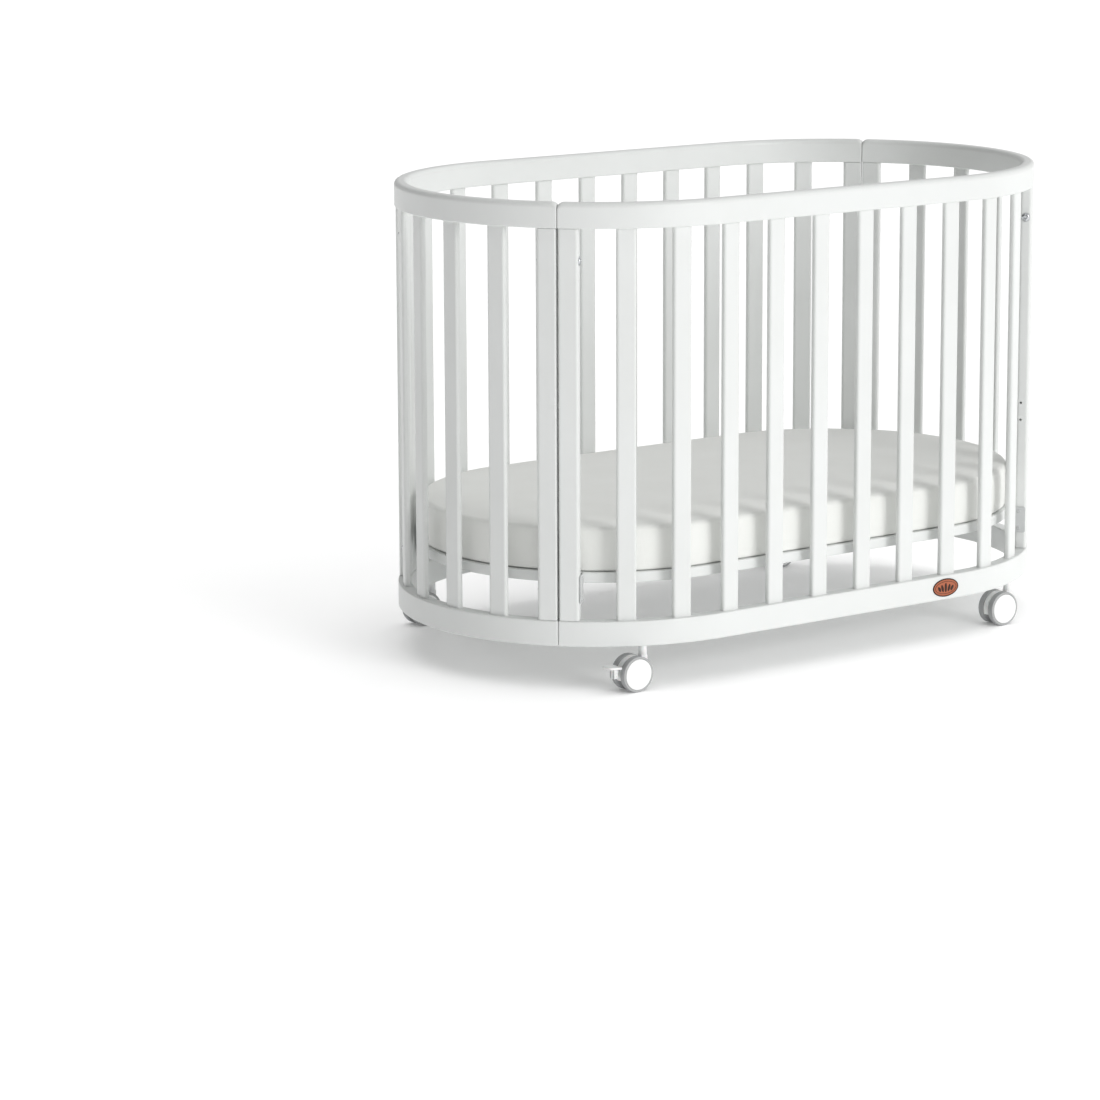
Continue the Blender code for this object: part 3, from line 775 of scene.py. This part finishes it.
def make_wheels(name, at, tyre, rim, cap_white):
    """A turned pair of wheels on one axle: a rubber tyre with rounded shoulders, a white cap."""
    axle = at + np.array((-CASTOR_TRAIL, 0, WHEEL_RADIUS))
    round_along, round_out = RIM_FACE - TYRE_ROUND, WHEEL_RADIUS - TYRE_ROUND
    shoulder = [
        (round_along + TYRE_ROUND * math.sin(a), round_out + TYRE_ROUND * math.cos(a), 0)
        for a in np.linspace(0, math.pi / 2, 6)
    ]
    bore, seat = 0.0045, RIM_FACE - 0.0012
    tread = [(WHEEL_INNER, bore, 0), (WHEEL_INNER, 0.0285, 0), (WHEEL_INNER + 0.0005, 0.0302, 0),
             (WHEEL_INNER + 0.0018, 0.0309, 0), (WHEEL_INNER + 0.003, WHEEL_RADIUS, 0),
             *shoulder[:4]]
    side = [*shoulder[3:], (RIM_FACE, 0.0272, 0), (seat, 0.0268, 0), (seat, bore, 0)]
    back = [(seat, bore, 0), (WHEEL_INNER, bore, 0)]
    cap_back, cap_radius = RIM_FACE - 0.003, 0.0265
    cap = [(cap_back, 0, 0), (cap_back, cap_radius, 0), (CASTOR_HALF - 0.0005, cap_radius, 0),
           (CASTOR_HALF - 0.0001, 0.0262, 0), (CASTOR_HALF, 0.0257, 0), (CASTOR_HALF, 0.0230, 0),
           (CASTOR_HALF, 0.0, 0)]
    rod_end, rod_radius = WHEEL_INNER + 0.001, 0.004
    rod = [(-rod_end, 0, 0), (-rod_end, rod_radius, 0), (rod_end, rod_radius, 0), (rod_end, 0, 0)]
    grids, caps = [], []
    for way in (1, -1):
        for profile, material in ((tread, 0), (side, 1), (back, 0)):
            grids.append(grid(turned(profile, axle, (0, way, 0), (0, 0, 1), 72), material=material))
        caps.append(grid(turned(cap, axle, (0, way, 0), (0, 0, 1), 72)))
    caps.append(grid(turned(rod, axle, (0, 1, 0), (0, 0, 1), 24)))
    body = name.replace("castor_", "")
    make(name, grids, [tyre, rim], body, [name])
    make(f"{name}_caps", caps, [cap_white], body)


def make_housing(name, at, braked, nylon):
    """A castor's hood, neck, collar and stem.

    The hood's outline is a circle cut by a level floor. Across its width it draws in by a quarter
    circle at both faces, so its rims are eased.
    """
    half, radius, floor, ease = 0.0059, 0.0303, -0.010, 0.0013
    axle = np.array((-CASTOR_TRAIL, 0, WHEEL_RADIUS))
    y = end_steps(-half, half, ease, 5, 0.004)
    inset = rounded_away(half - np.abs(y), ease, ease)[:, None]
    start = math.asin(floor / radius)
    sweep = np.linspace(start, math.pi - start, 49)[None]
    arc_x = (radius - inset) * np.cos(sweep)
    arc_z = np.maximum((radius - inset) * np.sin(sweep), floor + inset)
    across = np.broadcast_to(y[:, None], arc_x.shape)
    hood = at + axle + np.stack([arc_x, across, arc_z], -1)
    neck = at + box_between((-0.0068, -half, WHEEL_RADIUS), (0.0068, half, 0.0612), 0.0016)
    ring = [(0, 0, 0), (0, 0.0066, 0), (0.0006, 0.0072, 0), (0.0172, 0.0072, 0), (0.0172, 0, 0)]
    collar = turned(ring, at + np.array((0, 0, 0.059)), (0, 0, 1), (1, 0, 0), 36)
    rod = [(0, 0, 0), (0, 0.005, 0), (0.041, 0.005, 0), (0.042, 0.0042, 0), (0.042, 0, 0)]
    stem = turned(rod, at + np.array((0, 0, 0.061)), (0, 0, 1), (1, 0, 0), 24)
    grids = [grid(capped(hood)), grid(neck), grid(collar), grid(stem)]
    if braked:
        pin = axle + np.array((PIN[0], 0, PIN[1]))
        wide, tall = 0.0024, 0.0045
        inner = (axle[0] - 0.015, wide, pin[2] + tall)
        tongue = box_between((pin[0], -wide, pin[2] - tall), inner, 0.0008)
        eye = [(-wide, 0, 0), (-wide, tall, 0), (wide, tall, 0), (wide, 0, 0)]
        grids += [grid(at + tongue), grid(turned(eye, at + pin, (0, 1, 0), (0, 0, 1), 24))]
    body = name.replace("castor_housing", "castor")
    make(name, grids, [nylon], body, [name])


def make_pedal(name, at, nylon):
    """The brake pedal: a sloping foot plate on a hollow block with a pin across it.

    The plate's half width is constant and draws in as a quarter circle at its tip.
    """
    pin = at + np.array((-CASTOR_TRAIL + PIN[0], 0, WHEEL_RADIUS + PIN[1]))
    back, reach, corner, slope, thickness = 0.0045, 0.0210, 0.007, math.radians(5), 0.0038
    x = end_steps(-reach, back, corner, 9, 0.004)
    tip = x + reach
    trim = rounded_away(np.minimum(tip, 1.0), corner, corner)
    ease = rounded_away(np.minimum(tip, back - x), 0.0009, 0.0009)
    half = 0.013 - trim
    ring = section(
        np.stack([-half, ease], -1), np.stack([half, thickness - ease], -1),
        0.0009 * np.ones((len(x), 4)) - 0.9 * ease[:, None], 4, 0.0002,
    )
    along = np.broadcast_to(x[:, None], ring.shape[:2])
    tilt_x = along * math.cos(slope) + ring[..., 1] * math.sin(slope)
    tilt_z = -along * math.sin(slope) + ring[..., 1] * math.cos(slope)
    plate = pin + np.stack([tilt_x, ring[..., 0], tilt_z + 0.0092], -1)
    # The block is hollow: a front, a roof and two cheeks round the hood's tongue
    front, inner, wide, floor, roof = -0.0072, 0.002, 0.0059, -0.008, 0.0095
    walls = [
        ((front, -wide, floor), (front + 0.002, wide, roof)),
        ((front, -wide, roof - 0.002), (inner, wide, roof)),
        ((front, -wide, floor), (inner, -0.003, roof)),
        ((front, 0.003, floor), (inner, wide, roof)),
    ]
    block = [grid(pin + box_between(low, high, 0.0008)) for low, high in walls]
    rod = [(-0.0044, 0, 0), (-0.0044, 0.002, 0), (0.0044, 0.002, 0), (0.0044, 0, 0)]
    grids = [grid(capped(plate)), *block, grid(turned(rod, pin, (0, 1, 0), (0, 0, 1), 20))]
    make(name, grids, [nylon], name.replace("brake_", ""), [name])


def make_badge(sizes, field, rim):
    """An oval badge on the front's lower rail: a raised rim, a raised line and five plain drops.

    The drops stand in a fan. The further one stands from the middle, the lower, shorter and more
    tilted it is, in proportion.
    """
    middle_z = (BOTTOM_RAIL[0].z + BOTTOM_RAIL[1].z) / 2
    centre = np.array((sizes.badge_x, -OUTER_RADIUS, middle_z))
    angle = np.linspace(0, 2 * math.pi, 72, endpoint=False)
    size = np.array((sizes.badge_width / 2, sizes.badge_height / 2))

    def ovals(profile, middle, half, tilt=0.0):
        """Oval rings from rows of how far inside the oval's edge and how proud of the rail."""
        profile = np.asarray(profile, float)
        reach = np.maximum(half - profile[:, :1], 0)[:, None]
        flat = reach * np.stack([np.cos(angle), np.sin(angle)], -1)
        x = flat[..., 0] * math.cos(tilt) - flat[..., 1] * math.sin(tilt)
        z = flat[..., 0] * math.sin(tilt) + flat[..., 1] * math.cos(tilt)
        y = np.broadcast_to(-profile[:, 1:], x.shape)
        return middle + np.stack([x, y, z], -1)

    plate = [(0.03, -0.0004), (0.0019, -0.0004), (0.0019, 0.0009), (0.03, 0.0012)]
    lip = [(0, -0.0004), (0, 0.0010), (0.0004, 0.0015), (0.0011, 0.0017), (0.0017, 0.0015),
           (0.0021, 0.0009), (0.0021, -0.0004)]
    drop = [(0.01, 0.0006), (0, 0.0006), (0.0001, 0.0014), (0.0006, 0.0017), (0.01, 0.0018)]
    line = [(0.0050, 0.0006), (0.0050, 0.0014), (0.0054, 0.0016), (0.0058, 0.0014),
            (0.0058, 0.0006)]
    grids = [grid(ovals(plate, centre, size))]
    grids += [grid(ovals(ring, centre, size), rows_meet=True, material=1) for ring in (lip, line)]
    for shift in (-0.0146, -0.0076, 0.0, 0.0076, 0.0146):
        middle = centre + np.array((shift, 0, -abs(shift) * 0.12))
        half = np.array((0.0027, 0.0086 - abs(shift) * 0.22))
        grids.append(grid(ovals(drop, middle, half, -40 * shift), material=1))
    make("badge", grids, [field, rim], "root")


# The stage


def make_dome(stage):
    """Soft light from all round, brighter overhead and to the right.

    Its level is the fill plus the slope times the direction. It looks white to the camera.
    """
    world = bpy.data.worlds.new("studio")
    world.use_nodes = True
    tree = world.node_tree
    ahead = add(tree, "ShaderNodeTexCoord").outputs["Generated"]
    slope = (stage.fill_right, 0.0, stage.fill_above)
    tilt = add(tree, "ShaderNodeVectorMath", {0: ahead, 1: slope}, operation="DOT_PRODUCT")
    level = maths(tree, "ADD", tilt.outputs["Value"], stage.fill)
    level.node.use_clamp = True
    seen = add(tree, "ShaderNodeLightPath").outputs["Is Camera Ray"]
    strength = maths(tree, "MAXIMUM", level, seen)
    tree.links.new(strength, tree.nodes["Background"].inputs["Strength"])
    tree.nodes["Background"].inputs["Color"].default_value = linear("#ffffff")
    bpy.context.scene.world = world


def sun(name, strength, spread, side, height):
    """An even soft light that stands so far round to the right of the front and so high."""
    light = bpy.data.lights.new(name, "SUN")
    light.energy, light.angle = strength, spread
    lamp = bpy.data.objects.new(name, light)
    level = math.cos(height)
    towards = (-math.sin(side) * level, math.cos(side) * level, -math.sin(height))
    lamp.rotation_euler = Vector(towards).to_track_quat("-Z", "Y").to_euler()
    bpy.context.scene.collection.objects.link(lamp)
    return lamp


CAMERA_PLACE = (-4.20719, -5.49795, 1.61322)
CAMERA_YAW, CAMERA_PITCH = 0.63160, 0.18192
CAMERA_SHIFT = (-0.08, -0.10)
FLOOR_REACH = 60.0


def make_stage(stage):
    """A wide pale floor, a soft key light from the front, soft fill all round, and the camera."""
    mesh = bpy.data.meshes.new("floor")
    quarters = ((-1, -1), (1, -1), (1, 1), (-1, 1))
    corners = [(x * FLOOR_REACH, y * FLOOR_REACH, 0) for x, y in quarters]
    mesh.from_pydata(corners, [], [(0, 1, 2, 3)])
    floor = bpy.data.objects.new("floor", mesh)
    material, tree, shader = blank(
        "matt_white_light_box_floor", Roughness=0.85, Emission_Color=linear("#ffffff"),
        Emission_Strength=stage.glow,
    )
    place = add(tree, "ShaderNodeTexCoord").outputs["Object"]
    tone = between(tree, noise(tree, place, 0.5, 2.0), (stage.floor, "#f4f4f4"))
    tree.links.new(tone, shader.inputs["Base Color"])
    mesh.materials.append(material)
    bpy.context.scene.collection.objects.link(floor)
    make_dome(stage)
    sun("key", stage.key, math.radians(30), stage.key_side, stage.key_height)
    above = sun("floor_light", stage.floor_light, math.radians(75), 0.0, math.radians(80))
    lit = bpy.data.collections.new("lit_by_floor_light")
    lit.objects.link(floor)
    above.light_linking.receiver_collection = lit
    camera = bpy.data.objects.new("camera", bpy.data.cameras.new("camera"))
    camera.data.sensor_width = 36.0
    camera.data.lens = stage.lens
    camera.data.shift_x, camera.data.shift_y = CAMERA_SHIFT
    camera.location = CAMERA_PLACE
    level = math.cos(CAMERA_PITCH)
    ahead = (math.sin(CAMERA_YAW) * level, math.cos(CAMERA_YAW) * level, -math.sin(CAMERA_PITCH))
    camera.rotation_euler = Vector(ahead).to_track_quat("-Z", "Y").to_euler()
    bpy.context.scene.collection.objects.link(camera)
    bpy.context.scene.camera = camera
    bpy.context.scene.view_settings.view_transform = "Standard"


# The add-on


def length(name, description, default):
    return bpy.props.FloatProperty(
        name=name, description=description, default=default, min=0.0001, max=2.0,
        unit="LENGTH", subtype="DISTANCE", precision=4,
    )


def amount(name, description, default, **settings):
    return bpy.props.FloatProperty(name=name, description=description, default=default, **settings)


def shade(name, description, default):
    return bpy.props.StringProperty(name=name, description=description, default=default, maxlen=7)


class CribSizes(bpy.types.PropertyGroup):
    """Sizes of the roundings and small parts, which the frame leaves open."""

    rail_round: length("Top Rail Rounding", "Radius of a top rail's upper edges", 0.008)
    bottom_rail_round: length("Lower Rail Rounding", "Radius of a lower rail's upper edges", 0.0022)
    rail_ease: length("Rail Ease", "Radius of the small edges of a rail", 0.0018)
    corner_length: length("Corner Length", "How far a top rail's rounded end corner runs", 0.011)
    corner_depth: length("Corner Depth", "How far a top rail's rounded end corner drops", 0.0075)
    post_round: length("Post Rounding", "Radius of a post's edges towards the slats", 0.0055)
    post_seam_round: length("Post Seam Rounding", "Radius of a post's edges at the seam", 0.003)
    post_ease: length("Post End Ease", "Radius of a post's ends", 0.0014)
    slat_width: length("Slat Width", "Width of a slat along the outline", 0.034)
    slat_thickness: length("Slat Thickness", "Thickness of a slat", 0.011)
    slat_round: length("Slat Rounding", "Radius of a slat's long edges", 0.0042)
    slat_hidden: length("Slat In Rail", "How far a slat goes into the rails", 0.002)
    mattress_round: length("Mattress Rounding", "Radius of the mattress's upper edge", 0.010)
    mattress_foot_round: length(
        "Mattress Foot Rounding", "Radius of the mattress's lower edge", 0.004
    )
    mattress_swell: length("Mattress Swell", "How far the stuffed cover may swell", 0.003)
    seam_depth: length("Seam Depth", "How deep a sewn seam sinks", 0.0008)
    seam_width: length("Seam Width", "Half width of a sewn seam", 0.003)
    badge_x: length("Badge Place", "Distance of the badge from the crib's middle", 0.235)
    badge_width: length("Badge Width", "Width of the oval badge", 0.059)
    badge_height: length("Badge Height", "Height of the oval badge", 0.033)


class CribColours(bpy.types.PropertyGroup):
    """Colours of the finishes, as sRGB hex values."""

    paint: shade("Paint", "Colour of the lacquered rails, posts and slats", "#e8eae9")
    paint_worn: shade("Worn Paint", "Colour of the lacquer where it is thin", "#dfe1df")
    board: shade("Board", "Colour of the base board", "#edefee")
    cover: shade("Cover", "Colour of the mattress cover", "#f3f4f1")
    steel: shade("Steel", "Colour of the coated brackets", "#d0d2d2")
    nylon: shade("Nylon", "Colour of the castors' white plastic", "#f4f5f5")
    tyre: shade("Tyre", "Colour of the tyres' tread", "#a0a2a3")
    badge: shade("Badge", "Colour of the badge's field", "#bb6743")


class CribStage(bpy.types.PropertyGroup):
    """The floor, lights and lens."""

    floor: shade("Floor", "Colour of the floor", "#f2f2f2")
    fill: amount("Fill", "Strength of the light from all round", 0.31, min=0.0)
    fill_above: amount("Fill Above", "How much stronger the fill is overhead", 0.45)
    fill_right: amount("Fill Right", "How much stronger the fill is on the right", 0.42)
    floor_light: amount("Floor Light", "Strength of the light from above on the floor alone", 1.25)
    key: amount("Key Light", "Strength of the soft light from the front", 1.25, min=0.0)
    key_side: amount(
        "Key Side", "How far the key light stands to the right of the front", math.radians(12),
        subtype="ANGLE",
    )
    key_height: amount(
        "Key Height", "How high the key light stands above the floor's level", math.radians(18),
        subtype="ANGLE",
    )
    glow: amount("Floor Glow", "Strength of the light box under the floor", 0.11, min=0.0)
    lens: amount("Lens", "Focal length in millimetres", 126.444, min=1.0)


class CribPiece:
    """What the operators share: each builds its pieces from the scene's settings."""

    def execute(self, context):
        scene = context.scene
        self.build(scene.crib_sizes, scene.crib_colours)
        return {"FINISHED"}


class CRIB_OT_rails(CribPiece, bpy.types.Operator):
    """Make the top and lower rails of all four panels"""

    bl_idname = "crib.rails"
    bl_label = "Rails"

    def build(self, sizes, colours):
        make_rails(sizes, material_for("paint", colours))


class CRIB_OT_posts(CribPiece, bpy.types.Operator):
    """Make the posts at both ends of each panel"""

    bl_idname = "crib.posts"
    bl_label = "Posts"

    def build(self, sizes, colours):
        make_posts(sizes, material_for("paint", colours))


class CRIB_OT_slats(CribPiece, bpy.types.Operator):
    """Make the slats between the rails"""

    bl_idname = "crib.slats"
    bl_label = "Slats"

    def build(self, sizes, colours):
        make_slats(sizes, material_for("paint", colours))


class CRIB_OT_base(CribPiece, bpy.types.Operator):
    """Make the board that carries the mattress"""

    bl_idname = "crib.base"
    bl_label = "Mattress Base"

    def build(self, sizes, colours):
        make_base(material_for("board", colours))


class CRIB_OT_mattress(CribPiece, bpy.types.Operator):
    """Make the mattress and its sewn cover"""

    bl_idname = "crib.mattress"
    bl_label = "Mattress"

    def build(self, sizes, colours):
        make_mattress(sizes, material_for("cover", colours))


class CRIB_OT_fittings(CribPiece, bpy.types.Operator):
    """Make the brackets, their screws and the seam bolts"""

    bl_idname = "crib.fittings"
    bl_label = "Brackets and Bolts"

    def build(self, sizes, colours):
        make_brackets(material_for("steel", colours))
        make_bolts(material_for("chrome", colours))


class CRIB_OT_castors(CribPiece, bpy.types.Operator):
    """Make the castors, their wheels and the brake pedals"""

    bl_idname = "crib.castors"
    bl_label = "Castors"

    def build(self, sizes, colours):
        keys = ("tyre", "rim", "cap", "nylon")
        tyre, rim, cap, nylon = (material_for(key, colours) for key in keys)
        for name, place in CASTORS.items():
            at = outline(place)[0][0]
            braked = f"brake_pedal_{name}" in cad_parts
            make_housing(f"castor_housing_{name}", at, braked, nylon)
            make_wheels(f"castor_wheels_{name}", at, tyre, rim, cap)
            if braked:
                make_pedal(f"brake_pedal_{name}", at, nylon)


class CRIB_OT_badge(CribPiece, bpy.types.Operator):
    """Make the plain oval badge on the front"""

    bl_idname = "crib.badge"
    bl_label = "Badge"

    def build(self, sizes, colours):
        make_badge(sizes, material_for("badge", colours), material_for("badge_rim", colours))


class CRIB_OT_stage(bpy.types.Operator):
    """Make the floor, the lights and the camera"""

    bl_idname = "crib.stage"
    bl_label = "Stage"

    def execute(self, context):
        make_stage(context.scene.crib_stage)
        return {"FINISHED"}


OPERATORS = (
    CRIB_OT_rails, CRIB_OT_posts, CRIB_OT_slats, CRIB_OT_base, CRIB_OT_mattress,
    CRIB_OT_fittings, CRIB_OT_castors, CRIB_OT_badge, CRIB_OT_stage,
)


class CRIB_PT_panel(bpy.types.Panel):
    """The crib's pieces and settings in the 3D view's sidebar"""

    bl_idname = "CRIB_PT_panel"
    bl_label = "Oval Baby Crib"
    bl_space_type = "VIEW_3D"
    bl_region_type = "UI"
    bl_category = "Crib"

    def draw(self, context):
        for operator in OPERATORS:
            self.layout.operator(operator.bl_idname)
        for settings in (getattr(context.scene, name) for name in GROUPS):
            column = self.layout.column(align=True)
            for name in settings.__annotations__:
                column.prop(settings, name)


GROUPS = {"crib_sizes": CribSizes, "crib_colours": CribColours, "crib_stage": CribStage}


def register():
    for made in (*GROUPS.values(), *OPERATORS, CRIB_PT_panel):
        bpy.utils.register_class(made)
    for name, group in GROUPS.items():
        setattr(bpy.types.Scene, name, bpy.props.PointerProperty(type=group))


def unregister():
    for name in GROUPS:
        delattr(bpy.types.Scene, name)
    for made in reversed((*GROUPS.values(), *OPERATORS, CRIB_PT_panel)):
        bpy.utils.unregister_class(made)


def main():
    register()
    bpy.ops.crib.rails()
    bpy.ops.crib.posts()
    bpy.ops.crib.slats()
    bpy.ops.crib.base()
    bpy.ops.crib.mattress()
    bpy.ops.crib.fittings()
    bpy.ops.crib.castors()
    bpy.ops.crib.badge()
    bpy.ops.crib.stage()


if __name__ == "__main__":
    main()
